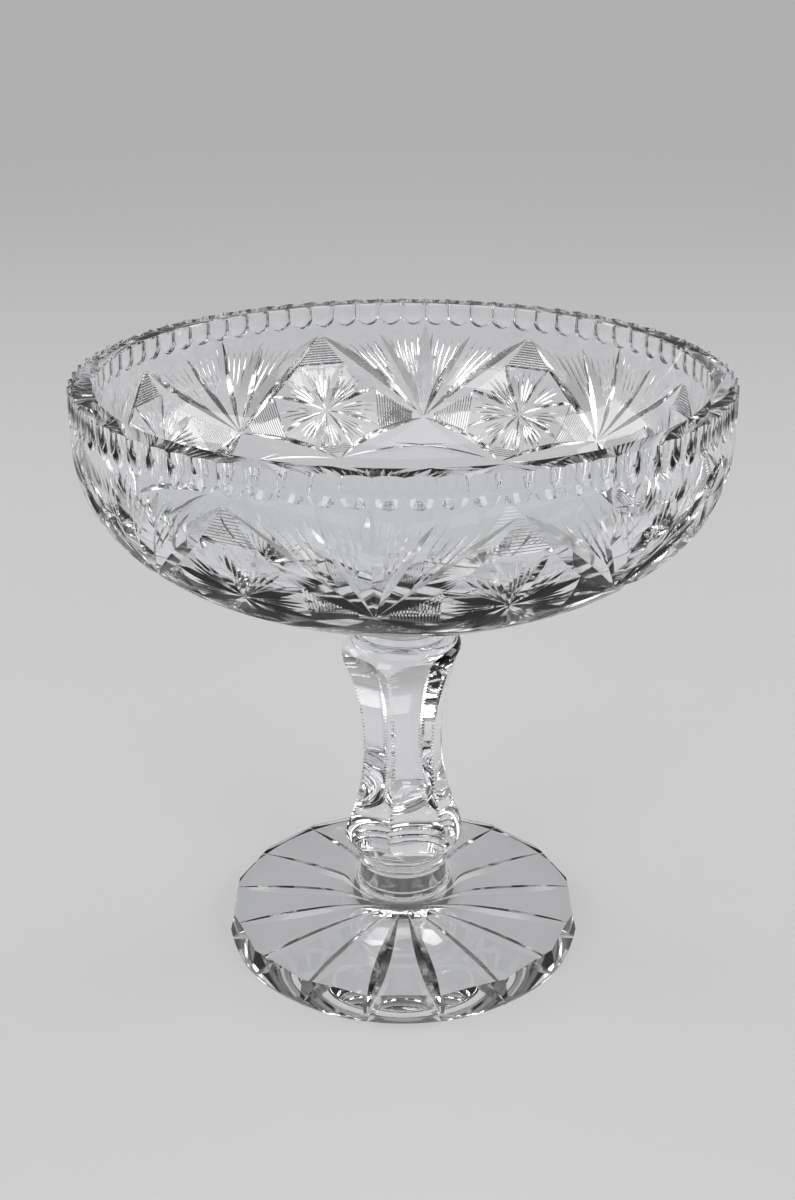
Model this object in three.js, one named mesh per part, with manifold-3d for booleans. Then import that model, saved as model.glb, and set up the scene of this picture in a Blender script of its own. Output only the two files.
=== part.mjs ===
// Footed fruit bowl of clear wheel-cut crystal: a wide shallow bowl on a waisted six-sided stem and a thick
// star-cut foot, with a ringed wafer of glass at each end of the stem.
// Millimetres, +Z up, origin at the centre of the foot's underside.
// Azimuth runs in degrees from -Y, the front, towards +X.
import * as THREE from "three";
import { mergeVertices } from "three/addons/utils/BufferGeometryUtils.js";
import Module from "manifold-3d";

const wasm = await Module();
wasm.setup();

// Foot
const FOOT_RADIUS = 65.5;
const FOOT_HEIGHT = 28;
const FOOT_NECK_LENGTH = 5.5;
const FOOT_EDGE_HEIGHT = 10.2;
const FOOT_EDGE_LEAN = 1.4;
const FOOT_BEVEL = 0.9;
const FOOT_BEVEL_HEIGHT = 4;
const FOOT_NECK_RADIUS = 16.2;
const FOOT_DOME_REACH = 0.6;
const FOOT_DOME_RISE = 0.35;
const FOOT_NECK_RISE = 0.4;
const FOOT_RAYS = 16;
const FOOT_RAY_WIDTH = 5.2;
const FOOT_RAY_START = 2.5;
const FOOT_RAY_OVERRUN = 1;
const FOOT_RAY_PEAK = 0.6;
const FOOT_FACET_HOLLOW = 0.15;

// Wafers above and below the stem
const WAFER_HEIGHT = 6.5;
const WAFER_RADIUS = 16.5;
const WAFER_GROOVE = 1.3;
const WAFER_BEADS = 2;

// Stem
const STEM_LENGTH = 85;
const STEM_SIDES = 6;
const STEM_TURN = -14;
const STEM_WAIST_RADIUS = 14.8;
const STEM_WAIST_SWEEP = 83.5;
const STEM_BULGE_RADIUS = 22;
const STEM_BULGE_INSET = 7;
const STEM_END_RADIUS = 15;
const STEM_BLANK_CLEAR = 1;

// Bowl
const BOWL_HEIGHT = 87.7;
const RIM_RADIUS = 110;
const RIM_WIDTH = 8.7;
const BOWL_NECK_RADIUS = 16.6;
const BOWL_NECK_LENGTH = 5.5;
const FLOOR_THICKNESS = 11.7;
const OUTER_WALL_HEIGHT = 9.5;
const INNER_WALL_HEIGHT = 19.2;

// Fullness of the bowl's two curves, as shares of each curve's own rise and reach
const SHOULDER_DROP = 0.34;
const BELLY_REACH = 0.992;
const BELLY_RISE = 0.297;
const INNER_DROP = 0.747;
const FLOOR_REACH = 0.228;

// Flutes round the rim
const RIM_FLUTES = 76;
const FLUTE_HEIGHT = 9.5;
const FLUTE_DEPTH = 1.5;
const FLUTE_LAND = 0.2;

// Cut pattern of the bowl: distances run down the outer wall from the rim,
// and turns are degrees from a fan's middle
const SECTORS = 8;
const FIRST_FAN_TURN = -5;
const HALF_SECTOR = 180 / SECTORS;
const FAN_DOWN = 49.6;
const PEAK_DOWN = 12.2;
const LOW_POINT_DOWN = 69.5;
const CENTRE_TIP_DOWN = 8.8;
const SIDE_TIP_DOWN = 12.5;
const SIDE_TIP_TURN = 9.9;
const CROSS_END_DOWN = 62.3;
const CROSS_END_TURN = 8.1;
const STAR_DOWN = 45;
const STAR_RADIUS = 24.5;
const STAR_RAYS = 8;
const FAN_RAY_WIDTH = 7.3;
const DIAGONAL_WIDTH = 8.2;
const LOW_DIAGONAL_WIDTH = 7.4;
const CROSS_WIDTH = 2.6;
const STAR_RAY_WIDTH = 4;

// Cutting wheels
const MITRE_HALF_ANGLE = THREE.MathUtils.degToRad(55);
const CUT_LIFT = 1.5;
const CUT_OVERRUN = 0.15;
const CUTTER_BACK = 6;

// Facets of the round forms
const BOWL_SEGMENTS = 56;
const FOOT_SEGMENTS = 48;
const WAFER_SEGMENTS = 26;
const STEM_SEGMENTS = 24;
const CURVE_STEPS = 8;
const MITRE_STEP = 14;
const FEWEST_MITRE_STEPS = 3;
const HOLLOW_STEPS = 2;
const FLUTE_SEGMENTS = 10;
const FLUTE_STEPS = 2;
const BEAD_STEPS = 4;
const WAIST_STEPS = 12;
const BULGE_STEPS = 4;

const crystal = new THREE.MeshStandardMaterial({
  color: 0xeef3f4,
  roughness: 0.04,
  metalness: 0,
  transparent: true,
  opacity: 0.35,
});

// A closed solid for joining and cutting, from a geometry whose vertices at one place are merged.
function solidOf(geometry) {
  const bare = new THREE.BufferGeometry();
  bare.setAttribute("position", geometry.getAttribute("position"));
  bare.setIndex(geometry.index);
  const merged = mergeVertices(bare, 1e-4);
  const corners = merged.index.array;
  const triangles = [];
  for (let i = 0; i < corners.length; i += 3) {
    const [a, b, c] = [corners[i], corners[i + 1], corners[i + 2]];
    if (a !== b && b !== c && c !== a) {
      triangles.push(a, b, c);
    }
  }
  const mesh = new wasm.Mesh({
    numProp: 3,
    vertProperties: new Float32Array(merged.getAttribute("position").array),
    triVerts: new Uint32Array(triangles),
  });
  return new wasm.Manifold(mesh);
}

function geometryOf(solid) {
  const mesh = solid.getMesh();
  const geometry = new THREE.BufferGeometry();
  geometry.setAttribute("position", new THREE.BufferAttribute(mesh.vertProperties, mesh.numProp));
  geometry.setIndex(new THREE.BufferAttribute(mesh.triVerts, 1));
  geometry.computeVertexNormals();
  return geometry;
}

function cutAll(body, cutters) {
  return cutters.reduce((rest, cutter) => rest.subtract(solidOf(cutter)), body);
}

function piece(name, solid, height) {
  const mesh = new THREE.Mesh(geometryOf(solid), crystal);
  mesh.name = name;
  mesh.position.z = height;
  return mesh;
}

// A solid of revolution about Z from a profile of (radius, height) points that runs up the outside.
function turned(points, segments) {
  return new THREE.LatheGeometry(points, segments).rotateX(Math.PI / 2);
}

function onCircle(radius, degrees, height) {
  const angle = THREE.MathUtils.degToRad(degrees);
  return new THREE.Vector3(radius * Math.sin(angle), -radius * Math.cos(angle), height);
}

function evenly(count, make) {
  return Array.from({ length: count }, (_, i) => make(i));
}

// A V-shaped wheel cut along a path: at(t) gives a point of the surface and its outward normal,
// for t from 0 to 1. The cut is a lens as wide as width at the peak, a share of the path, and it runs out
// of the surface at both ends.
function mitreCut(at, width, peak = 0.5) {
  const deepest = width / 2 / Math.tan(MITRE_HALF_ANGLE);
  const bend = Math.log(0.5) / Math.log(peak);
  const length = at(0).point.distanceTo(at(1).point);
  const steps = Math.max(FEWEST_MITRE_STEPS, Math.round(length / MITRE_STEP));
  const corners = [];
  for (let i = 0; i <= steps; i++) {
    const t = i / steps;
    const { point, normal } = at(t);
    const step = 0.01;
    const along = at(Math.min(1, t + step)).point.sub(at(Math.max(0, t - step)).point);
    const across = along.cross(normal).normalize();
    const bent = t ** bend;
    const depth = deepest * 4 * bent * (1 - bent) - CUT_OVERRUN * (2 * bent - 1) ** 2;
    const spread = (depth + CUT_LIFT) * Math.tan(MITRE_HALF_ANGLE);
    const top = point.clone().addScaledVector(normal, CUT_LIFT);
    corners.push(top.clone().addScaledVector(across, -spread));
    corners.push(top.clone().addScaledVector(across, spread));
    corners.push(point.clone().addScaledVector(normal, -depth));
  }
  const faces = [0, 2, 1];
  for (let left = 0; left < 3 * steps; left += 3) {
    const [right, keel] = [left + 1, left + 2];
    const [nextLeft, nextRight, nextKeel] = [left + 3, left + 4, left + 5];
    faces.push(left, nextLeft, nextKeel, left, nextKeel, keel);
    faces.push(keel, nextKeel, nextRight, keel, nextRight, right);
    faces.push(right, nextRight, nextLeft, right, nextLeft, left);
  }
  const end = 3 * steps;
  faces.push(end, end + 1, end + 2);
  const cutter = new THREE.BufferGeometry().setFromPoints(corners);
  cutter.setIndex(faces);
  return cutter;
}

// A prism with one hollow-grinding side: an arc across x that dips towards -y by hollow,
// swept along z from 0.
function hollowCutter(halfWidth, hollow, length) {
  const radius = (halfWidth ** 2 + hollow ** 2) / (2 * hollow);
  const half = Math.asin(halfWidth / radius);
  const outline = new THREE.Shape();
  outline.moveTo(halfWidth, CUTTER_BACK);
  outline.lineTo(-halfWidth, CUTTER_BACK);
  outline.lineTo(-halfWidth, 0);
  outline.absarc(0, radius - hollow, radius, -Math.PI / 2 - half, -Math.PI / 2 + half, false);
  return new THREE.ExtrudeGeometry(outline, {
    depth: length,
    steps: 1,
    bevelEnabled: false,
    curveSegments: HOLLOW_STEPS,
  });
}

// Stands a cutter at an azimuth on a ring, given as radius and height, so that it leans to another ring.
function standBetween([radius, height], [nextRadius, nextHeight], cutter, degrees) {
  cutter.rotateX(-Math.atan2(nextRadius - radius, nextHeight - height));
  cutter.translate(0, radius, height);
  return cutter.rotateZ(THREE.MathUtils.degToRad(degrees) + Math.PI);
}

// Foot: a thick disc with a gently domed top that sweeps up into a short neck.
function footBody() {
  const top = FOOT_RADIUS - FOOT_EDGE_LEAN;
  const profile = new THREE.Path();
  profile.moveTo(0, 0);
  profile.lineTo(FOOT_RADIUS - FOOT_BEVEL, 0);
  profile.lineTo(FOOT_RADIUS, FOOT_BEVEL_HEIGHT);
  profile.lineTo(top, FOOT_EDGE_HEIGHT);
  const domeTop = FOOT_HEIGHT - FOOT_NECK_LENGTH;
  const rise = domeTop - FOOT_EDGE_HEIGHT;
  const reach = top - FOOT_NECK_RADIUS;
  profile.bezierCurveTo(
    top - reach * FOOT_DOME_REACH,
    FOOT_EDGE_HEIGHT + rise * FOOT_DOME_RISE,
    FOOT_NECK_RADIUS,
    FOOT_EDGE_HEIGHT + rise * FOOT_NECK_RISE,
    FOOT_NECK_RADIUS,
    domeTop,
  );
  profile.lineTo(FOOT_NECK_RADIUS, FOOT_HEIGHT);
  profile.lineTo(0, FOOT_HEIGHT);
  return solidOf(turned(profile.getPoints(CURVE_STEPS), FOOT_SEGMENTS));
}

// Star under the foot: rays from near the middle that run out at the edge.
function footRay(degrees) {
  const down = new THREE.Vector3(0, 0, -1);
  const end = FOOT_RADIUS + FOOT_RAY_OVERRUN;
  const at = (t) => ({
    point: onCircle(THREE.MathUtils.lerp(FOOT_RAY_START, end, t), degrees, 0),
    normal: down,
  });
  return mitreCut(at, FOOT_RAY_WIDTH, FOOT_RAY_PEAK);
}

// Facets round the edge, from ray to ray: each meets its neighbours in corners at the widest part of the edge
// and at its top, and runs out in an arch below.
function footFacet(degrees) {
  const corner = Math.PI / FOOT_RAYS;
  const widest = [FOOT_RADIUS * Math.cos(corner), FOOT_BEVEL_HEIGHT];
  const top = [(FOOT_RADIUS - FOOT_EDGE_LEAN) * Math.cos(corner), FOOT_EDGE_HEIGHT];
  const lean = (widest[0] - top[0]) / (FOOT_EDGE_HEIGHT - FOOT_BEVEL_HEIGHT);
  const bottom = [widest[0] + lean * FOOT_BEVEL_HEIGHT, 0];
  const cutter = hollowCutter(FOOT_RADIUS * Math.sin(corner), FOOT_FACET_HOLLOW, 2 * FOOT_EDGE_HEIGHT);
  return standBetween(bottom, top, cutter, degrees);
}

function foot() {
  const step = 360 / FOOT_RAYS;
  const rays = evenly(FOOT_RAYS, (i) => footRay((i + 0.5) * step));
  const facets = evenly(FOOT_RAYS, (i) => footFacet(i * step));
  return cutAll(footBody(), [...facets, ...rays]);
}

// Wafer: a small disc with rounded beads round its edge.
function wafer() {
  const bead = WAFER_HEIGHT / WAFER_BEADS;
  const profile = [new THREE.Vector2(0, 0)];
  for (let i = 0; i < WAFER_BEADS; i++) {
    for (let k = i === 0 ? 0 : 1; k <= BEAD_STEPS; k++) {
      const share = k / BEAD_STEPS;
      const swell = WAFER_GROOVE * Math.sin(Math.PI * share);
      profile.push(new THREE.Vector2(WAFER_RADIUS - WAFER_GROOVE + swell, (i + share) * bead));
    }
  }
  profile.push(new THREE.Vector2(0, WAFER_HEIGHT));
  return solidOf(turned(profile, WAFER_SEGMENTS));
}

// Stem: the corners of its six sides follow one long arc, waisted in the middle.
function stemSections() {
  const half = STEM_LENGTH / 2;
  return evenly(WAIST_STEPS + 1, (i) => {
    const off = half * ((2 * i) / WAIST_STEPS - 1);
    const radius = STEM_WAIST_RADIUS + STEM_WAIST_SWEEP - Math.sqrt(STEM_WAIST_SWEEP ** 2 - off ** 2);
    return { height: half + off, radius };
  });
}

function stemPrism() {
  const sections = stemSections();
  const corners = [];
  for (const { height, radius } of sections) {
    for (let i = 0; i < STEM_SIDES; i++) {
      corners.push(onCircle(radius, STEM_TURN + (360 * i) / STEM_SIDES, height));
    }
  }
  const faces = [];
  const top = (sections.length - 1) * STEM_SIDES;
  for (let i = 1; i < STEM_SIDES - 1; i++) {
    faces.push(0, i + 1, i, top, top + i, top + i + 1);
  }
  for (let row = 0; row < top; row += STEM_SIDES) {
    for (let i = 0; i < STEM_SIDES; i++) {
      const [a, b] = [row + i, row + ((i + 1) % STEM_SIDES)];
      faces.push(a, b, b + STEM_SIDES, a, b + STEM_SIDES, a + STEM_SIDES);
    }
  }
  const prism = new THREE.BufferGeometry().setFromPoints(corners);
  prism.setIndex(faces);
  return solidOf(prism);
}

// Turned blank that the six sides are cut from: it stays round in the bulge at each end, so that every side
// ends there in an arch, and it tapers to just outside the waist.
function stemBlank() {
  const width = STEM_BULGE_RADIUS - STEM_END_RADIUS;
  const lower = evenly(BULGE_STEPS + 1, (i) => {
    const angle = ((i / BULGE_STEPS) * Math.PI) / 2;
    const height = STEM_BULGE_INSET * (1 - Math.cos(angle));
    return new THREE.Vector2(STEM_END_RADIUS + width * Math.sin(angle), height);
  });
  const upper = lower.map(({ x, y }) => new THREE.Vector2(x, STEM_LENGTH - y)).reverse();
  const waist = new THREE.Vector2(STEM_WAIST_RADIUS + STEM_BLANK_CLEAR, STEM_LENGTH / 2);
  const ends = [new THREE.Vector2(0, 0), new THREE.Vector2(0, STEM_LENGTH)];
  const blank = turned([ends[0], ...lower, waist, ...upper, ends[1]], STEM_SEGMENTS);
  return solidOf(blank.rotateZ(THREE.MathUtils.degToRad(STEM_TURN)));
}

function stem() {
  return stemPrism().intersect(stemBlank());
}

// Bowl: outer curve from the rim down to a short neck,
// and inner curve from the rim to the middle of the floor.
function outerCurve() {
  const reach = RIM_RADIUS - BOWL_NECK_RADIUS;
  const wallFoot = BOWL_HEIGHT - OUTER_WALL_HEIGHT;
  const curve = new THREE.Path();
  curve.moveTo(RIM_RADIUS, BOWL_HEIGHT);
  curve.lineTo(RIM_RADIUS, wallFoot);
  curve.bezierCurveTo(
    RIM_RADIUS,
    THREE.MathUtils.lerp(wallFoot, BOWL_NECK_LENGTH, SHOULDER_DROP),
    BOWL_NECK_RADIUS + reach * BELLY_REACH,
    THREE.MathUtils.lerp(BOWL_NECK_LENGTH, wallFoot, BELLY_RISE),
    BOWL_NECK_RADIUS,
    BOWL_NECK_LENGTH,
  );
  return curve;
}

function innerCurve() {
  const radius = RIM_RADIUS - RIM_WIDTH;
  const wallFoot = BOWL_HEIGHT - INNER_WALL_HEIGHT;
  const floor = BOWL_NECK_LENGTH + FLOOR_THICKNESS;
  const curve = new THREE.Path();
  curve.moveTo(radius, BOWL_HEIGHT);
  curve.lineTo(radius, wallFoot);
  curve.bezierCurveTo(
    radius,
    THREE.MathUtils.lerp(wallFoot, floor, INNER_DROP),
    radius * FLOOR_REACH,
    floor,
    0,
    floor,
  );
  return curve;
}

const wall = outerCurve();

function bowlBody() {
  const outside = wall.getPoints(CURVE_STEPS).reverse();
  const inside = innerCurve().getPoints(CURVE_STEPS);
  const neck = [new THREE.Vector2(0, 0), new THREE.Vector2(BOWL_NECK_RADIUS, 0)];
  return solidOf(turned([...neck, ...outside, ...inside], BOWL_SEGMENTS));
}

// A point of the outer wall and its outward normal.
function onWall(degrees, down) {
  const share = down / wall.getLength();
  const { x: radius, y: height } = wall.getPoint(share);
  const { x: outwards, y: upwards } = wall.getTangent(share);
  const normal = onCircle(-upwards, degrees, outwards);
  return { point: onCircle(radius, degrees, height), normal };
}

// A wheel cut on the wall between two places, each given as a turn and a distance down.
function wallCut([turnA, downA], [turnB, downB], width) {
  const at = (t) => {
    const turn = THREE.MathUtils.lerp(turnA, turnB, t);
    return onWall(turn, THREE.MathUtils.lerp(downA, downB, t));
  };
  return mitreCut(at, width);
}

// Fan of five rays, two long diagonals below it and the pair of thin cuts that cross under it.
function fanCuts(middle) {
  const root = [middle, FAN_DOWN];
  const cuts = [wallCut(root, [middle, CENTRE_TIP_DOWN], FAN_RAY_WIDTH)];
  for (const side of [-1, 1]) {
    const edge = middle + side * HALF_SECTOR;
    const lowPoint = [edge, LOW_POINT_DOWN];
    const crossEnd = [middle - side * CROSS_END_TURN, CROSS_END_DOWN];
    cuts.push(wallCut(root, [middle + side * SIDE_TIP_TURN, SIDE_TIP_DOWN], FAN_RAY_WIDTH));
    cuts.push(wallCut(root, [edge, PEAK_DOWN], DIAGONAL_WIDTH));
    cuts.push(wallCut(root, lowPoint, LOW_DIAGONAL_WIDTH));
    cuts.push(wallCut(lowPoint, crossEnd, CROSS_WIDTH));
  }
  return cuts;
}

// Star in the diamond between two fans.
function starCuts(middle) {
  const { x: radius } = wall.getPoint(STAR_DOWN / wall.getLength());
  return evenly(STAR_RAYS, (i) => {
    const angle = ((i + 0.5) * 2 * Math.PI) / STAR_RAYS;
    const turn = THREE.MathUtils.radToDeg((STAR_RADIUS * Math.sin(angle)) / radius);
    const tip = [middle + turn, STAR_DOWN + STAR_RADIUS * Math.cos(angle)];
    return wallCut([middle, STAR_DOWN], tip, STAR_RAY_WIDTH);
  });
}

// Thumb flute under the rim: a round-ended upright cut of even depth, which leaves a cusp to the next.
function rimFlute(degrees) {
  const corner = Math.PI / RIM_FLUTES;
  const halfWidth = RIM_RADIUS * Math.sin(corner) - FLUTE_LAND / 2;
  const radius = (halfWidth ** 2 + FLUTE_DEPTH ** 2) / (2 * FLUTE_DEPTH);
  const outline = new THREE.Path();
  outline.absarc(0, 0, radius, -Math.PI / 2, 0, false);
  outline.lineTo(radius, FLUTE_HEIGHT + CUT_LIFT);
  outline.lineTo(0, FLUTE_HEIGHT + CUT_LIFT);
  const cutter = turned(outline.getPoints(FLUTE_STEPS), FLUTE_SEGMENTS);
  const axis = RIM_RADIUS * Math.cos(corner) - FLUTE_DEPTH + radius;
  cutter.translate(0, -axis, BOWL_HEIGHT - FLUTE_HEIGHT + halfWidth);
  return cutter.rotateZ(THREE.MathUtils.degToRad(degrees));
}

function bowl() {
  const fans = evenly(SECTORS, (i) => fanCuts(FIRST_FAN_TURN + 2 * i * HALF_SECTOR)).flat();
  const stars = evenly(SECTORS, (i) => starCuts(FIRST_FAN_TURN + (2 * i + 1) * HALF_SECTOR)).flat();
  const flutes = evenly(RIM_FLUTES, (i) => rimFlute((360 * (i + 0.5)) / RIM_FLUTES));
  return cutAll(bowlBody(), [...fans, ...stars, ...flutes]);
}

const footedBowl = new THREE.Group();
const lowerWaferHeight = FOOT_HEIGHT;
const stemHeight = lowerWaferHeight + WAFER_HEIGHT;
const upperWaferHeight = stemHeight + STEM_LENGTH;
const bowlHeight = upperWaferHeight + WAFER_HEIGHT;
footedBowl.add(piece("foot", foot(), 0));
footedBowl.add(piece("lower_wafer", wafer(), lowerWaferHeight));
footedBowl.add(piece("stem", stem(), stemHeight));
footedBowl.add(piece("upper_wafer", wafer(), upperWaferHeight));
footedBowl.add(piece("bowl", bowl(), bowlHeight));

export default footedBowl;
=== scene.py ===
import math

import bmesh
import bpy
import numpy as np
from mathutils import Euler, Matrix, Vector


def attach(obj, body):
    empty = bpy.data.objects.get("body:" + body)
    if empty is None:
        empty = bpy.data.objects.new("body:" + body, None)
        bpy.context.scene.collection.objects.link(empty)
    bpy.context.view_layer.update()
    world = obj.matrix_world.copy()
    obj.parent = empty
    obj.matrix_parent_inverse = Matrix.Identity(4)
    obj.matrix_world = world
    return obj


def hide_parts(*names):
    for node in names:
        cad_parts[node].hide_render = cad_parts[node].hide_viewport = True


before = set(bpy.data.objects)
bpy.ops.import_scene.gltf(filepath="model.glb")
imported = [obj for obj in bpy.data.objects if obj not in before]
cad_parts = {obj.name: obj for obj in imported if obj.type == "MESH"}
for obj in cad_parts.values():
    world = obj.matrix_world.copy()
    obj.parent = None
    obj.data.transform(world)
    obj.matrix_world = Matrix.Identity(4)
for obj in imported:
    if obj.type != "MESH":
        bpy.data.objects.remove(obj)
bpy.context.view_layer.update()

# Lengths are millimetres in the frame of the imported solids, except where a comment says metres.
# Azimuth runs in degrees from -Y, the front, towards +X.
MM = 0.001

# Heights of the five pieces, which stand on each other
FOOT_TOP = 28.0
WAFER_HEIGHT = 6.5
STEM_LENGTH = 85.0
BOWL_HEIGHT = 87.7
STEM_BOTTOM = FOOT_TOP + WAFER_HEIGHT
STEM_TOP = STEM_BOTTOM + STEM_LENGTH
BOWL_BOTTOM = STEM_TOP + WAFER_HEIGHT
RIM_TOP = BOWL_BOTTOM + BOWL_HEIGHT

# Bonded faces: inside this radius, this near to the height of a bond, and level
BOND_RADIUS = 14.5
BOND_TOLERANCE = 0.01
LEVEL_NORMAL = 0.999

# Material slots of every piece
SLOT_MATERIALS = ["polished_crystal", "bonded_face", "wheel_cut_crystal", "fine_cut_crystal"]
POLISHED, BOND, WHEEL_CUT, FINE_CUT = range(4)

# Wheels: half the angle of each wheel's edge
MITRE_ANGLE = math.radians(55)
FEATHER_ANGLE = math.radians(50)
HATCH_ANGLE = math.radians(50)
NOTCH_ANGLE = math.radians(45)

# Cutters: how far they stand proud of the surface, how far above it a cut's two ends run out,
# the thickness behind a hollow side, and the share of a path on which its direction is measured
CUT_LIFT = 0.6
CUT_OVERRUN = 0.12
CUTTER_BACK = 6.0
PATH_STEP = 0.01

# Edges sharper than this stay sharp
CREASE_ANGLE = math.radians(8)

# Points of a finished piece nearer to each other than this, in metres, become one
WELD = 1e-6


# Mesh helpers: a part is an array of vertices and a list of faces

def turned(profile, segments):
    """Closed solid of revolution.

    The profile's (radius, height) points leave the axis, run up outside and return to it."""
    turns = np.arange(segments) * (2 * math.pi / segments)
    verts = [(0.0, 0.0, profile[0][1])]
    for radius, height in profile[1:-1]:
        verts += [(radius * math.sin(a), -radius * math.cos(a), height) for a in turns]
    verts.append((0.0, 0.0, profile[-1][1]))
    rings = len(profile) - 2
    top = len(verts) - 1
    last = 1 + (rings - 1) * segments
    faces = []
    for i in range(segments):
        j = (i + 1) % segments
        faces.append((0, 1 + j, 1 + i))
        for k in range(rings - 1):
            a = 1 + k * segments
            b = a + segments
            faces.append((a + i, a + j, b + j, b + i))
        faces.append((last + i, last + j, top))
    return np.array(verts), faces


def bezier(points, steps):
    a, b, c, d = (np.array(p, float) for p in points)
    t = np.linspace(0, 1, steps + 1)[:, None]
    return (1 - t) ** 3 * a + 3 * (1 - t) ** 2 * t * b + 3 * (1 - t) * t ** 2 * c + t ** 3 * d


def on_circle(radius, degrees, height):
    a = math.radians(degrees)
    return np.array([radius * math.sin(a), -radius * math.cos(a), height])


def turn(verts, degrees):
    """Turns points about the upright axis."""
    a = math.radians(degrees)
    c, s = math.cos(a), math.sin(a)
    return verts @ np.array([[c, s, 0.0], [-s, c, 0.0], [0.0, 0.0, 1.0]])


def joined(parts):
    verts, faces, base = [], [], 0
    for part_verts, part_faces in parts:
        verts.append(part_verts)
        faces += [tuple(base + i for i in face) for face in part_faces]
        base += len(part_verts)
    return np.concatenate(verts), faces


def around(part, count):
    """Copies of a part, evenly round the upright axis, as one part."""
    verts, faces = part
    return joined([(turn(verts, 360 * i / count), faces) for i in range(count)])


def linked(name, part, slot=POLISHED):
    """An object of the part, with every material slot."""
    verts, faces = part
    mesh = bpy.data.meshes.new(name)
    mesh.from_pydata((verts * MM).tolist(), [], faces)
    for material in SLOT_MATERIALS:
        mesh.materials.append(bpy.data.materials[material])
    mesh.polygons.foreach_set("material_index", [slot] * len(mesh.polygons))
    mesh.update()
    obj = bpy.data.objects.new(name, mesh)
    bpy.context.scene.collection.objects.link(obj)
    return obj


def tools_of(parts, slot=POLISHED):
    return [linked("tool", part, slot) for part in parts]


def boolean(obj, operation, tools):
    """Cuts an object with a list of others, and removes them."""
    group = bpy.data.collections.new("tools")
    bpy.context.scene.collection.children.link(group)
    for tool in tools:
        group.objects.link(tool)
    modifier = obj.modifiers.new("boolean", "BOOLEAN")
    modifier.operation = operation
    modifier.solver = "MANIFOLD"
    modifier.operand_type = "COLLECTION"
    modifier.collection = group
    evaluated = obj.evaluated_get(bpy.context.evaluated_depsgraph_get())
    made = bpy.data.meshes.new_from_object(evaluated)
    obj.modifiers.clear()
    obj.data = made
    for tool in tools:
        bpy.data.objects.remove(tool)
    bpy.data.collections.remove(group)


def clean(mesh):
    """Welds points that fall together, and leaves triangles only, with no pair folded flat."""
    bm = bmesh.new()
    bm.from_mesh(mesh)
    bmesh.ops.remove_doubles(bm, verts=bm.verts, dist=WELD)
    bmesh.ops.triangulate(bm, faces=bm.faces)
    bm.verts.index_update()
    corners = {}
    for face in bm.faces:
        corners.setdefault(frozenset(v.index for v in face.verts), []).append(face)
    folded = [face for faces in corners.values() if len(faces) > 1 for face in faces]
    bmesh.ops.delete(bm, geom=folded, context="FACES")
    bm.to_mesh(mesh)
    bm.free()


def finish_piece(obj, node, bond_heights):
    """Cleans a piece, marks its bonded faces and sharp edges, and gives it its place in the frame."""
    mesh = obj.data
    mesh.name = obj.name
    clean(mesh)
    for face in mesh.polygons:
        x, y, z = face.center / MM
        level = abs(face.normal.z) > LEVEL_NORMAL
        bonded = any(abs(z - height) < BOND_TOLERANCE for height in bond_heights)
        if level and bonded and math.hypot(x, y) < BOND_RADIUS:
            face.material_index = BOND
    mesh.shade_smooth()
    mesh.set_sharp_from_angle(angle=CREASE_ANGLE)
    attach(obj, "root")
    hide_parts(node)


# Wheel cuts

def lens(t):
    """Share of the full depth along a cut that is deepest in the middle."""
    return 4 * t * (1 - t)


def even_groove(t):
    """Share of the full depth along a cut that keeps its depth almost to its ends."""
    return 1 - (2 * t - 1) ** 6


def mitre(at, width, steps, depth_at=lens, half_angle=MITRE_ANGLE,
          lift=CUT_LIFT, overrun=CUT_OVERRUN, peak=0.5):
    """V-shaped wheel cut along at(t), which gives a point of the surface and its outward normal.

    It is deepest at the peak, a share of the path."""
    deepest = width / 2 / math.tan(half_angle)
    bend = math.log(0.5) / math.log(peak)
    verts = []
    for i in range(steps + 1):
        t = i / steps
        point, normal = at(t)
        along = at(min(1, t + PATH_STEP))[0] - at(max(0, t - PATH_STEP))[0]
        across = np.cross(along, normal)
        across /= np.linalg.norm(across)
        bent = t ** bend
        depth = deepest * depth_at(bent) - overrun * (2 * bent - 1) ** 2
        spread = (depth + lift) * math.tan(half_angle)
        top = point + normal * lift
        verts += [top - across * spread, top + across * spread, point - normal * depth]
    faces = [(0, 2, 1)]
    for left in range(0, 3 * steps, 3):
        faces.append((left, left + 3, left + 5, left + 2))
        faces.append((left + 2, left + 5, left + 4, left + 1))
        faces.append((left + 1, left + 4, left + 3, left))
    end = 3 * steps
    faces.append((end, end + 1, end + 2))
    return np.array(verts), faces


def hollow_cutter(half_width, hollow, length, steps):
    """Prism with one hollow side: an arc across x that dips towards -y, swept along z from 0."""
    radius = (half_width ** 2 + hollow ** 2) / (2 * hollow)
    half = math.asin(half_width / radius)
    outline = [(half_width, CUTTER_BACK), (-half_width, CUTTER_BACK)]
    for i in range(steps + 1):
        a = -math.pi / 2 - half + 2 * half * i / steps
        outline.append((radius * math.cos(a), radius - hollow + radius * math.sin(a)))
    n = len(outline)
    verts = [(x, y, z) for z in (0.0, length) for x, y in outline]
    faces = [tuple(range(n - 1, -1, -1)), tuple(range(n, 2 * n))]
    faces += [(i, (i + 1) % n, n + (i + 1) % n, n + i) for i in range(n)]
    return np.array(verts), faces


def stand_between(low, high, part, degrees):
    """Stands a cutter on the ring low (radius, height) so that it leans to the ring high, at an azimuth."""
    verts, faces = part
    lean = -math.atan2(high[0] - low[0], high[1] - low[1])
    c, s = math.cos(lean), math.sin(lean)
    y = verts[:, 1] * c - verts[:, 2] * s + low[0]
    z = verts[:, 1] * s + verts[:, 2] * c + low[1]
    leaned = np.stack([verts[:, 0], y, z], axis=1)
    return turn(leaned, degrees + 180), faces


# Materials

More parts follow.
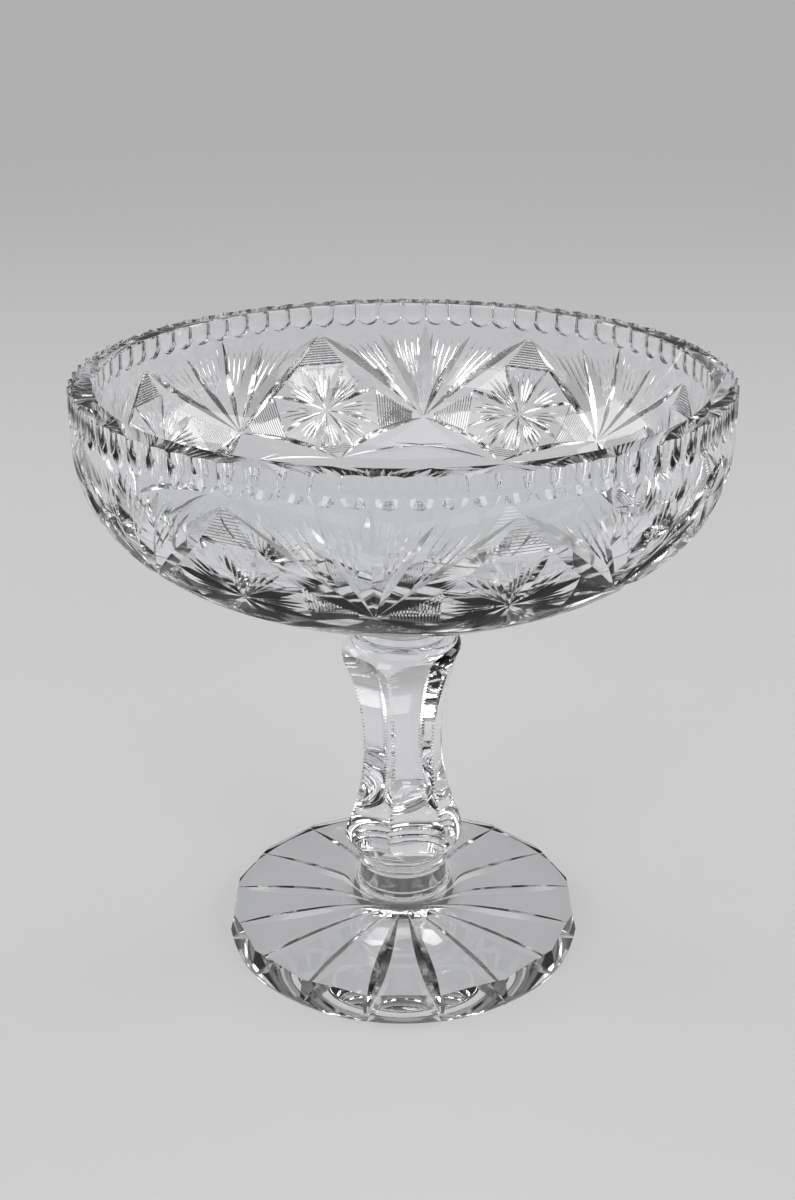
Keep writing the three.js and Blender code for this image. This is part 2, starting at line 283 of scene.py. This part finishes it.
CRYSTAL_IOR = 1.545
CRYSTAL_TINTS = ((0.985, 0.99, 0.995), (0.97, 0.978, 0.985))
CLOUD_SCALE, CLOUD_DETAIL = 40.0, 2.0
GRAIN_DETAIL = 3.0
BUMP_DISTANCE = 0.0002

# The part of a noise's range that is used
NOISE_LOW, NOISE_HIGH = 0.3, 0.7

# Colour sockets of the mix node
MIX_FIRST, MIX_SECOND, MIX_RESULT = 6, 7, 2


def node_material(name):
    material = bpy.data.materials.new(name)
    material.use_nodes = True
    tree = material.node_tree
    tree.nodes.clear()
    return material, tree.nodes, tree.links


def noise(nodes, links, scale, detail):
    coords = nodes.new("ShaderNodeTexCoord")
    texture = nodes.new("ShaderNodeTexNoise")
    texture.inputs["Scale"].default_value = scale
    texture.inputs["Detail"].default_value = detail
    links.new(coords.outputs["Object"], texture.inputs["Vector"])
    return texture.outputs["Fac"]


def mapped(nodes, links, value, low, high):
    ramp = nodes.new("ShaderNodeMapRange")
    ramp.inputs["From Min"].default_value = NOISE_LOW
    ramp.inputs["From Max"].default_value = NOISE_HIGH
    ramp.inputs["To Min"].default_value = low
    ramp.inputs["To Max"].default_value = high
    links.new(value, ramp.inputs["Value"])
    return ramp.outputs["Result"]


def two_tone(nodes, links, value, first, second):
    shade = nodes.new("ShaderNodeMix")
    shade.data_type = "RGBA"
    shade.inputs[MIX_FIRST].default_value = (*first, 1.0)
    shade.inputs[MIX_SECOND].default_value = (*second, 1.0)
    links.new(value, shade.inputs["Factor"])
    return shade.outputs[MIX_RESULT]


def crystal(name, roughness, grain_scale, bump):
    """Clear lead crystal: roughness varies between two values, and a fine bump stands for the polishing."""
    _, nodes, links = node_material(name)
    shader = nodes.new("ShaderNodeBsdfPrincipled")
    shader.inputs["Transmission Weight"].default_value = 1.0
    shader.inputs["IOR"].default_value = CRYSTAL_IOR
    cloud = noise(nodes, links, CLOUD_SCALE, CLOUD_DETAIL)
    links.new(two_tone(nodes, links, cloud, *CRYSTAL_TINTS), shader.inputs["Base Color"])
    grain = noise(nodes, links, grain_scale, GRAIN_DETAIL)
    links.new(mapped(nodes, links, grain, *roughness), shader.inputs["Roughness"])
    relief = nodes.new("ShaderNodeBump")
    relief.inputs["Strength"].default_value = bump
    relief.inputs["Distance"].default_value = BUMP_DISTANCE
    links.new(grain, relief.inputs["Height"])
    links.new(relief.outputs["Normal"], shader.inputs["Normal"])
    output = nodes.new("ShaderNodeOutputMaterial")
    links.new(shader.outputs["BSDF"], output.inputs["Surface"])


def bonded_face():
    """Where two pieces are bonded there is no air between them, so light goes straight on."""
    _, nodes, links = node_material("bonded_face")
    clear = nodes.new("ShaderNodeBsdfTransparent")
    output = nodes.new("ShaderNodeOutputMaterial")
    links.new(clear.outputs["BSDF"], output.inputs["Surface"])


crystal("polished_crystal", roughness=(0.0, 0.01), grain_scale=300.0, bump=0.015)
crystal("wheel_cut_crystal", roughness=(0.07, 0.14), grain_scale=400.0, bump=0.02)
crystal("fine_cut_crystal", roughness=(0.03, 0.09), grain_scale=500.0, bump=0.03)
bonded_face()


# Foot: the dome's reach and rises are shares of its width and height

FOOT_RADIUS = 65.5
FOOT_BEVEL = 0.9
FOOT_BEVEL_HEIGHT = 4.0
FOOT_EDGE_HEIGHT = 10.2
FOOT_TOP_RADIUS = 64.1
FOOT_DOME_TOP = 22.5
FOOT_DOME_REACH = 0.6
FOOT_DOME_RISE = 0.35
FOOT_NECK_RISE = 0.4
FOOT_NECK_RADIUS = 16.2
FOOT_RING_RADIUS = 30
FOOT_RAYS = 16
FOOT_RAY_WIDTH = 5.2
FOOT_RAY_START, FOOT_RAY_END = 2.5, 66.5
FOOT_RAY_PEAK = 0.6
FOOT_FACET_HOLLOW = 0.15
FOOT_SEGMENTS = 192
FOOT_DOME_STEPS = 64
FOOT_RAY_STEPS = 24
FOOT_FACET_STEPS = 12


def foot_ray(degrees):
    """One wheel cut of the star on the underside."""
    down = np.array([0.0, 0.0, -1.0])

    def at(t):
        return on_circle(FOOT_RAY_START + (FOOT_RAY_END - FOOT_RAY_START) * t, degrees, 0.0), down

    return mitre(at, FOOT_RAY_WIDTH, FOOT_RAY_STEPS, peak=FOOT_RAY_PEAK)


def foot_profile():
    rise = FOOT_DOME_TOP - FOOT_EDGE_HEIGHT
    reach = FOOT_TOP_RADIUS - FOOT_NECK_RADIUS
    dome = bezier([
        (FOOT_TOP_RADIUS, FOOT_EDGE_HEIGHT),
        (FOOT_TOP_RADIUS - FOOT_DOME_REACH * reach, FOOT_EDGE_HEIGHT + FOOT_DOME_RISE * rise),
        (FOOT_NECK_RADIUS, FOOT_EDGE_HEIGHT + FOOT_NECK_RISE * rise),
        (FOOT_NECK_RADIUS, FOOT_DOME_TOP),
    ], FOOT_DOME_STEPS)
    profile = [(0, 0), (FOOT_RING_RADIUS, 0), (FOOT_RADIUS - FOOT_BEVEL, 0)]
    profile.append((FOOT_RADIUS, FOOT_BEVEL_HEIGHT))
    profile += [tuple(p) for p in dome]
    profile += [(FOOT_NECK_RADIUS, FOOT_TOP), (BOND_RADIUS, FOOT_TOP), (0, FOOT_TOP)]
    return profile


def foot_facets(step):
    """Hollow facets round the edge, from ray to ray."""
    corner = math.radians(step / 2)
    widest = FOOT_RADIUS * math.cos(corner)
    high = (FOOT_TOP_RADIUS * math.cos(corner), FOOT_EDGE_HEIGHT)
    lean = (widest - high[0]) / (FOOT_EDGE_HEIGHT - FOOT_BEVEL_HEIGHT)
    low = (widest + lean * FOOT_BEVEL_HEIGHT, 0.0)
    half_width = FOOT_RADIUS * math.sin(corner)
    facet = hollow_cutter(half_width, FOOT_FACET_HOLLOW, 2 * FOOT_EDGE_HEIGHT, FOOT_FACET_STEPS)
    return [stand_between(low, high, facet, i * step) for i in range(FOOT_RAYS)]


def make_foot():
    step = 360 / FOOT_RAYS
    rays = [foot_ray((i + 0.5) * step) for i in range(FOOT_RAYS)]
    foot = linked("star_foot", turned(foot_profile(), FOOT_SEGMENTS))
    boolean(foot, "DIFFERENCE", tools_of(foot_facets(step)) + tools_of(rays, WHEEL_CUT))
    finish_piece(foot, "foot", [FOOT_TOP])


# Wafers

WAFER_RADIUS = 16.5
WAFER_GROOVE = 1.3
WAFER_BEADS = 2
WAFER_SEGMENTS = 160
BEAD_STEPS = 48


def make_wafer(name, node, bottom):
    profile = [(0, bottom), (BOND_RADIUS, bottom), (WAFER_RADIUS - WAFER_GROOVE, bottom)]
    for k in range(1, WAFER_BEADS * BEAD_STEPS + 1):
        share = k / BEAD_STEPS
        swell = WAFER_GROOVE * abs(math.sin(math.pi * share))
        height = bottom + share * WAFER_HEIGHT / WAFER_BEADS
        profile.append((WAFER_RADIUS - WAFER_GROOVE + swell, height))
    profile += [(BOND_RADIUS, bottom + WAFER_HEIGHT), (0, bottom + WAFER_HEIGHT)]
    wafer = linked(name, turned(profile, WAFER_SEGMENTS))
    finish_piece(wafer, node, [bottom, bottom + WAFER_HEIGHT])


# Stem

STEM_MIDDLE = (STEM_TOP + STEM_BOTTOM) / 2
STEM_HALF = (STEM_TOP - STEM_BOTTOM) / 2
STEM_SIDES = 6
STEM_TURN = -14
STEM_WAIST_RADIUS = 14.8
STEM_WAIST_SWEEP = 83.5
STEM_BULGE_RADIUS = 22.0
STEM_BULGE_INSET = 7.0
STEM_END_RADIUS = 15.0
STEM_BLANK_CLEAR = 1.0
STEM_SEGMENTS = 144
STEM_STEPS = 96
BULGE_STEPS = 24
NOTCH_PITCH = 1.4
NOTCH_WIDTH = 1.25
NOTCH_LENGTH = 4
NOTCH_LIFT = 0.1
NOTCH_REACH = 31.8
SLOPE_REACH = 0.1


def stem_radius(off):
    """Radius of the six corners at a height off the middle of the waist."""
    return STEM_WAIST_RADIUS + STEM_WAIST_SWEEP - math.sqrt(STEM_WAIST_SWEEP ** 2 - off ** 2)


def stem_notch(off):
    """One small cut across a corner that faces the front, at a height off the middle."""
    slope = (stem_radius(off + SLOPE_REACH) - stem_radius(off - SLOPE_REACH)) / (2 * SLOPE_REACH)
    normal = np.array([0.0, -1.0, -slope])
    normal /= np.linalg.norm(normal)

    def at(t):
        return np.array([NOTCH_LENGTH * (t - 0.5), -stem_radius(off), STEM_MIDDLE + off]), normal

    return mitre(at, NOTCH_WIDTH, 1, lambda t: 1.0, NOTCH_ANGLE, NOTCH_LIFT, 0.0)


def stem_prism():
    """Six-sided prism whose corners follow the waisted arc."""
    heights = np.linspace(-STEM_HALF, STEM_HALF, STEM_STEPS + 1)
    sections = [(stem_radius(off), STEM_MIDDLE + off) for off in heights]
    verts, faces = turned([(0, STEM_BOTTOM), *sections, (0, STEM_TOP)], STEM_SIDES)
    return turn(verts, STEM_TURN), faces


def stem_blank():
    """Turned blank that the six sides are cut from, round in the bulge at each end."""
    bulge = []
    for angle in np.linspace(0, math.pi / 2, BULGE_STEPS + 1):
        radius = STEM_END_RADIUS + (STEM_BULGE_RADIUS - STEM_END_RADIUS) * math.sin(angle)
        bulge.append((radius, STEM_BULGE_INSET * (1 - math.cos(angle))))
    blank = [(0, STEM_BOTTOM), (BOND_RADIUS, STEM_BOTTOM)]
    blank += [(radius, STEM_BOTTOM + up) for radius, up in bulge]
    blank.append((STEM_WAIST_RADIUS + STEM_BLANK_CLEAR, STEM_MIDDLE))
    blank += [(radius, STEM_TOP - up) for radius, up in bulge[::-1]]
    blank += [(BOND_RADIUS, STEM_TOP), (0, STEM_TOP)]
    return turned(blank, STEM_SEGMENTS)


def stem_notches():
    """Rows of small cuts along the six corners."""
    heights = np.arange(-NOTCH_REACH, NOTCH_REACH, NOTCH_PITCH)
    verts, faces = joined([stem_notch(off) for off in heights])
    return around((turn(verts, STEM_TURN), faces), STEM_SIDES)


def make_stem():
    stem = linked("faceted_stem", stem_prism())
    boolean(stem, "INTERSECT", tools_of([stem_blank()]))
    boolean(stem, "DIFFERENCE", tools_of([stem_notches()]))
    finish_piece(stem, "stem", [STEM_BOTTOM, STEM_TOP])


# Bowl

RIM_RADIUS = 109.99
INNER_RADIUS = 101.3
RIM_EASE = 0.5
WALL_FOOT = 204.2
SHOULDER_HEIGHT = 179.48
BELLY_RADIUS, BELLY_HEIGHT = 109.25, 153.09
BOWL_NECK_RADIUS = 16.6
BOWL_NECK_TOP = 131.5
INNER_WALL_FOOT = 194.5
INNER_SHOULDER_HEIGHT = 156.18
INNER_FLOOR_RADIUS = 23.1
INNER_FLOOR = 143.2
BOWL_SEGMENTS = 304
BOWL_OUTER_STEPS = 96
BOWL_INNER_STEPS = 60
WALL_POINTS = 200
WALL_CURVE_STEPS = 2000

# Inner wall: rings of points, from this far under the rim to this far above the wall's foot
INNER_RINGS = 6
INNER_RINGS_DOWN, INNER_RINGS_UP = 3, 2.5

# Flutes under the rim
RIM_FLUTES = 76
FLUTE_HEIGHT = 9.5
FLUTE_DEPTH = 1.5
FLUTE_LAND = 0.2
FLUTE_CLEAR = 1
FLUTE_SEGMENTS = 60
FLUTE_END_POINTS = 16

# Cut pattern: a place is a turn in degrees and a distance down the outer wall from the rim
SECTORS = 8
HALF_SECTOR = 180 / SECTORS
FAN_TURN = -5.0
STAR_TURN = FAN_TURN + HALF_SECTOR
FAN_DOWN, PEAK_DOWN, LOW_DOWN = 49.6, 12.2, 69.5
FAN_TIPS = [(-HALF_SECTOR, PEAK_DOWN), (-9.9, 12.5), (0.0, 8.8), (9.9, 12.5), (HALF_SECTOR, PEAK_DOWN)]
CROSS_END_TURN, CROSS_END_DOWN = 8.1, 62.3
FAN_RAY_WIDTH = 7.3
DIAGONAL_WIDTH = 8.2
LOW_DIAGONAL_WIDTH = 7.4
CROSS_WIDTH = 2.6
STAR_DOWN = 45.0
STAR_RADIUS = 22.0
STAR_RAYS = 8
STAR_RAY_LENGTH = 24.5
STAR_RAY_WIDTH = 4.2
RAY_STEPS = 14
DIAGONAL_STEPS = 20
LOW_DIAGONAL_STEPS = 18
CROSS_STEPS = 16

# Feathers: those of a fan start at a share of the way to their tips, later in its two inner gaps,
# and the middle ones of a gap stop earlier. Those of a star are angles and lengths.
FEATHERS = 5
FEATHER_WIDTH = 1.7
FEATHER_STEPS = 10
OUTER_FEATHER_START, INNER_FEATHER_START = 0.36, 0.46
FEATHER_DIP = 0.09
STAR_FEATHERS = [(-11, 17.5), (-3.7, 20.5), (3.7, 20.5), (11, 17.5)]
STAR_FEATHER_START = 5.0
STAR_FEATHER_WIDTH = 1.4

# Hatching: its gaps to the corners of the pattern and to the star's octagon are distances,
# and the end of the side lines is a turn in degrees.
HATCH_PITCH = 1.0
HATCH_WIDTH = 0.98
HATCH_LIFT = 0.25
HATCH_OVERRUN = 0.03
HATCH_STEPS = 8
MOST_HATCH_LINES = 40
LOW_HATCH_LINES = 5
PEAK_HATCH_GAP = 2.0
LOW_HATCH_GAP = 3.2
OCTAGON_OVERLAP = 0.3
OCTAGON_GAP = 0.4
SIDE_HATCH_END = 20

wall_line = np.linspace((RIM_RADIUS, RIM_TOP), (RIM_RADIUS, WALL_FOOT), WALL_POINTS)
wall_curve = bezier([
    (RIM_RADIUS, WALL_FOOT),
    (RIM_RADIUS, SHOULDER_HEIGHT),
    (BELLY_RADIUS, BELLY_HEIGHT),
    (BOWL_NECK_RADIUS, BOWL_NECK_TOP),
], WALL_CURVE_STEPS)
outer_wall = np.concatenate([wall_line[:-1], wall_curve])
wall_down = np.concatenate([[0], np.cumsum(np.hypot(*np.diff(outer_wall, axis=0).T))])
wall_slope = np.gradient(outer_wall, wall_down, axis=0)


def wall_point(down):
    """Radius and height of the outer wall at a distance down from the rim."""
    return tuple(float(np.interp(down, wall_down, outer_wall[:, k])) for k in (0, 1))


def on_wall(degrees, down):
    """Point of the outer wall and its outward normal."""
    radius, height = wall_point(down)
    along_r, along_z = (np.interp(down, wall_down, wall_slope[:, k]) for k in (0, 1))
    normal = on_circle(-along_z, degrees, along_r)
    return on_circle(radius, degrees, height), normal / np.linalg.norm(normal)


def wall_cut(a, b, width, steps=RAY_STEPS, **more):
    """Wheel cut between two places of the wall, repeated in every sector."""
    def at(t):
        return on_wall(a[0] + (b[0] - a[0]) * t, a[1] + (b[1] - a[1]) * t)

    return around(mitre(at, width, steps, **more), SECTORS)


def star_place(angle, reach):
    """Place at a distance from the star's middle, angle 0 straight down."""
    degrees = math.degrees(reach * math.sin(angle) / wall_point(STAR_DOWN)[0])
    return STAR_TURN + degrees, STAR_DOWN + reach * math.cos(angle)


def fan_place(tip, share):
    """Place on the way from a fan's root to a tip."""
    return FAN_TURN + tip[0] * share, FAN_DOWN + (tip[1] - FAN_DOWN) * share


def main_cuts():
    """Five rays of every fan, the diagonals and thin cuts under it, and the eight rays of every star."""
    root = (FAN_TURN, FAN_DOWN)
    cuts = [wall_cut(root, fan_place(tip, 1), FAN_RAY_WIDTH) for tip in FAN_TIPS[1:4]]
    for side in (-1, 1):
        edge = FAN_TURN + side * HALF_SECTOR
        cross_end = (FAN_TURN - side * CROSS_END_TURN, CROSS_END_DOWN)
        cuts.append(wall_cut(root, (edge, PEAK_DOWN), DIAGONAL_WIDTH, DIAGONAL_STEPS))
        cuts.append(wall_cut(root, (edge, LOW_DOWN), LOW_DIAGONAL_WIDTH, LOW_DIAGONAL_STEPS))
        cuts.append(wall_cut((edge, LOW_DOWN), cross_end, CROSS_WIDTH, CROSS_STEPS))
    for i in range(STAR_RAYS):
        tip = star_place(2 * math.pi * (i + 0.5) / STAR_RAYS, STAR_RAY_LENGTH)
        cuts.append(wall_cut((STAR_TURN, STAR_DOWN), tip, STAR_RAY_WIDTH))
    return cuts


def feather_cut(start, end, width):
    return wall_cut(start, end, width, FEATHER_STEPS, half_angle=FEATHER_ANGLE)


def feather_cuts():
    """Thin blades between the rays of every fan, and between the rays of every star."""
    cuts = []
    for first, second in zip(FAN_TIPS, FAN_TIPS[1:]):
        outer_gap = HALF_SECTOR in (abs(first[0]), abs(second[0]))
        start = OUTER_FEATHER_START if outer_gap else INNER_FEATHER_START
        for j in range(FEATHERS):
            share = (j + 1) / (FEATHERS + 1)
            tip = tuple(a + (b - a) * share for a, b in zip(first, second))
            stop = 1.0 - FEATHER_DIP * lens(share)
            cuts.append(feather_cut(fan_place(tip, start), fan_place(tip, stop), FEATHER_WIDTH))
    for i in range(STAR_RAYS):
        for off, stop in STAR_FEATHERS:
            angle = math.radians(360 * i / STAR_RAYS + off)
            start, end = star_place(angle, STAR_FEATHER_START), star_place(angle, stop)
            cuts.append(feather_cut(start, end, STAR_FEATHER_WIDTH))
    return cuts


def hatch_cuts():
    """Fine parallel cuts that fill the corners between the diagonals and the star's octagon.

    Neighbouring cutters overlap, so each corner's lines go into two sets by turns."""
    groove = dict(depth_at=even_groove, half_angle=HATCH_ANGLE, lift=HATCH_LIFT, overrun=HATCH_OVERRUN)
    sets = {}

    def add(key, a, b):
        sets.setdefault(key, []).append(wall_cut(a, b, HATCH_WIDTH, HATCH_STEPS, **groove))

    flat = STAR_RADIUS * math.cos(math.pi / STAR_RAYS)
    for k in range(MOST_HATCH_LINES):
        down = PEAK_DOWN + PEAK_HATCH_GAP + k * HATCH_PITCH
        if down > STAR_DOWN - flat + OCTAGON_OVERLAP:
            break
        reach = HALF_SECTOR * (down - PEAK_DOWN) / (FAN_DOWN - PEAK_DOWN)
        add(("peak", k % 2), (STAR_TURN - reach, down), (STAR_TURN + reach, down))
    for k in range(MOST_HATCH_LINES):
        reach = math.degrees((flat + OCTAGON_GAP + k * HATCH_PITCH) / wall_point(STAR_DOWN)[0])
        if reach > SIDE_HATCH_END:
            break
        top = PEAK_DOWN + (FAN_DOWN - PEAK_DOWN) * reach / HALF_SECTOR
        low = LOW_DOWN - (LOW_DOWN - FAN_DOWN) * reach / HALF_SECTOR
        for side in (-1, 1):
            add(("side", side, k % 2), (STAR_TURN + side * reach, top), (STAR_TURN + side * reach, low))
    for k in range(LOW_HATCH_LINES):
        down = LOW_DOWN - LOW_HATCH_GAP - k * HATCH_PITCH
        reach = HALF_SECTOR * (LOW_DOWN - down) / (LOW_DOWN - FAN_DOWN)
        add(("low", k % 2), (STAR_TURN - reach, down), (STAR_TURN + reach, down))
    return [joined(parts) for parts in sets.values()]


def flute_cuts():
    """Round-ended upright cuts under the rim, in two sets because neighbours' cutters overlap."""
    corner = math.pi / RIM_FLUTES
    half_width = RIM_RADIUS * math.sin(corner) - FLUTE_LAND / 2
    radius = (half_width ** 2 + FLUTE_DEPTH ** 2) / (2 * FLUTE_DEPTH)
    middle = RIM_TOP - FLUTE_HEIGHT + half_width
    angles = np.linspace(-math.pi / 2, 0, FLUTE_END_POINTS)
    profile = [(radius * math.cos(a), middle + radius * math.sin(a)) for a in angles]
    top = RIM_TOP + FLUTE_CLEAR
    verts, faces = turned([(0, profile[0][1]), *profile[1:], (radius, top), (0, top)], FLUTE_SEGMENTS)
    verts[:, 1] -= RIM_RADIUS * math.cos(corner) - FLUTE_DEPTH + radius
    flutes = [(turn(verts, 360 * (i + 0.5) / RIM_FLUTES), faces) for i in range(RIM_FLUTES)]
    return [joined(flutes[0::2]), joined(flutes[1::2])]


def bowl_profile():
    outside = [wall_point(down) for down in np.linspace(wall_down[-1], 0, BOWL_OUTER_STEPS + 1)]
    inside = bezier([
        (INNER_RADIUS, INNER_WALL_FOOT),
        (INNER_RADIUS, INNER_SHOULDER_HEIGHT),
        (INNER_FLOOR_RADIUS, INNER_FLOOR),
        (0, INNER_FLOOR),
    ], BOWL_INNER_STEPS)
    rings = np.linspace(RIM_TOP - INNER_RINGS_DOWN, INNER_WALL_FOOT + INNER_RINGS_UP, INNER_RINGS)
    profile = [(0, BOWL_BOTTOM), (BOND_RADIUS, BOWL_BOTTOM), (BOWL_NECK_RADIUS, BOWL_BOTTOM)] + outside
    profile += [(INNER_RADIUS + RIM_EASE, RIM_TOP), (INNER_RADIUS, RIM_TOP - RIM_EASE)]
    profile += [(INNER_RADIUS, z) for z in rings]
    profile += [tuple(p) for p in inside]
    return profile


def make_bowl():
    bowl = linked("cut_bowl", turned(bowl_profile(), BOWL_SEGMENTS))
    tools = tools_of(main_cuts() + feather_cuts(), WHEEL_CUT)
    tools += tools_of(flute_cuts())
    tools += tools_of(hatch_cuts(), FINE_CUT)
    boolean(bowl, "DIFFERENCE", tools)
    finish_piece(bowl, "bowl", [BOWL_BOTTOM])


make_foot()
make_wafer("ringed_wafer_lower", "lower_wafer", FOOT_TOP)
make_stem()
make_wafer("ringed_wafer_upper", "upper_wafer", STEM_TOP)
make_bowl()


# Stage, light and camera: lengths in metres

# Floor: just under the foot, with a glow that the camera sees and that lights nothing
FLOOR_HALF = 12.0
FLOOR_LEVEL = -0.0003
FLOOR_TINTS = ((0.265, 0.265, 0.27), (0.285, 0.285, 0.29))
FLOOR_GLOW = (0.38, 0.38, 0.385)
FLOOR_CLOUD_SCALE, FLOOR_CLOUD_DETAIL = 3.0, 2.0
FLOOR_ROUGHNESS = 0.85
FLOOR_SPECULAR = 0.1

# Light from all round: as pale as the far floor at the horizon, darkest from this sine of elevation up
HORIZON_LEVEL, ZENITH_LEVEL = 0.425, 0.12
ZENITH_FROM = 0.4

# Softboxes: the point that all of them face, then each one's place, width and height, and watts
LIGHT_TARGET = (0.0, 0.0, 0.12)
SOFTBOXES = {
    "softbox_left": ((-0.95, 0.35, 0.75), (0.5, 0.9), 4.8),
    "softbox_right": ((0.95, 0.35, 0.75), (0.5, 0.9), 4.8),
    "softbox_front_left": ((-0.65, -0.9, 0.6), (0.5, 0.8), 4.2),
    "softbox_front_right": ((0.65, -0.9, 0.6), (0.5, 0.8), 4.2),
    "softbox_top": ((0.0, -0.1, 1.4), (1.2, 0.9), 4.3),
}

# Camera: tilt and roll in degrees, sensor in millimetres, focal length in pixels of the image's height
CAMERA_PLACE = (-0.00191, -0.5451, 0.3602)
CAMERA_DOWN = 22.748
CAMERA_ROLL = -0.124
CAMERA_NEAR = 0.01
SENSOR_HEIGHT = 36.0
FOCAL_PIXELS = 1685.49
IMAGE_HEIGHT = 1200


def seen_ray(nodes, links):
    """1 for rays that come from the camera, straight or by way of glass and gloss, and 0 for lighting."""
    path = nodes.new("ShaderNodeLightPath")
    total = path.outputs["Is Camera Ray"]
    for kind in ("Is Glossy Ray", "Is Transmission Ray"):
        either = nodes.new("ShaderNodeMath")
        either.operation = "MAXIMUM"
        links.new(total, either.inputs[0])
        links.new(path.outputs[kind], either.inputs[1])
        total = either.outputs["Value"]
    return total


def floor_material():
    material, nodes, links = node_material("pale_floor")
    shader = nodes.new("ShaderNodeBsdfPrincipled")
    cloud = noise(nodes, links, FLOOR_CLOUD_SCALE, FLOOR_CLOUD_DETAIL)
    links.new(two_tone(nodes, links, cloud, *FLOOR_TINTS), shader.inputs["Base Color"])
    shader.inputs["Roughness"].default_value = FLOOR_ROUGHNESS
    shader.inputs["Specular IOR Level"].default_value = FLOOR_SPECULAR
    shader.inputs["Emission Color"].default_value = (*FLOOR_GLOW, 1.0)
    links.new(seen_ray(nodes, links), shader.inputs["Emission Strength"])
    output = nodes.new("ShaderNodeOutputMaterial")
    links.new(shader.outputs["BSDF"], output.inputs["Surface"])
    return material


def make_floor():
    mesh = bpy.data.meshes.new("floor")
    corners = [(-1, -1), (1, -1), (1, 1), (-1, 1)]
    verts = [(x * FLOOR_HALF, y * FLOOR_HALF, FLOOR_LEVEL) for x, y in corners]
    mesh.from_pydata(verts, [], [(0, 1, 2, 3)])
    mesh.materials.append(floor_material())
    floor = bpy.data.objects.new("floor", mesh)
    bpy.context.scene.collection.objects.link(floor)


def make_surroundings():
    """Soft light from all round, palest at the horizon and fading upwards."""
    world = bpy.data.worlds.new("studio")
    bpy.context.scene.world = world
    world.use_nodes = True
    nodes, links = world.node_tree.nodes, world.node_tree.links
    coords = nodes.new("ShaderNodeTexCoord")
    split = nodes.new("ShaderNodeSeparateXYZ")
    links.new(coords.outputs["Generated"], split.inputs["Vector"])
    fade = nodes.new("ShaderNodeMapRange")
    fade.interpolation_type = "SMOOTHSTEP"
    fade.inputs["From Min"].default_value = 0.0
    fade.inputs["From Max"].default_value = ZENITH_FROM
    fade.inputs["To Min"].default_value = HORIZON_LEVEL
    fade.inputs["To Max"].default_value = ZENITH_LEVEL
    links.new(split.outputs["Z"], fade.inputs["Value"])
    background = nodes["Background"]
    background.inputs["Color"].default_value = (1.0, 1.0, 1.0, 1.0)
    links.new(fade.outputs["Result"], background.inputs["Strength"])


def make_softbox(name, place, size, power):
    light = bpy.data.lights.new(name, "AREA")
    light.shape = "RECTANGLE"
    light.size, light.size_y = size
    light.energy = power
    lamp = bpy.data.objects.new(name, light)
    bpy.context.scene.collection.objects.link(lamp)
    lamp.location = place
    lamp.rotation_euler = (Vector(place) - Vector(LIGHT_TARGET)).to_track_quat("Z", "Y").to_euler()


def make_camera():
    data = bpy.data.cameras.new("camera")
    data.sensor_fit = "VERTICAL"
    data.sensor_height = SENSOR_HEIGHT
    data.lens = SENSOR_HEIGHT * FOCAL_PIXELS / IMAGE_HEIGHT
    data.clip_start = CAMERA_NEAR
    camera = bpy.data.objects.new("camera", data)
    bpy.context.scene.collection.objects.link(camera)
    camera.location = CAMERA_PLACE
    tilt = Euler((math.radians(90 - CAMERA_DOWN), 0, 0)).to_matrix()
    roll = Euler((0, 0, math.radians(CAMERA_ROLL))).to_matrix()
    camera.rotation_euler = (tilt @ roll).to_euler()
    bpy.context.scene.camera = camera


make_floor()
make_surroundings()
for softbox, setup in SOFTBOXES.items():
    make_softbox(softbox, *setup)
make_camera()
bpy.context.scene.view_settings.view_transform = "Standard"
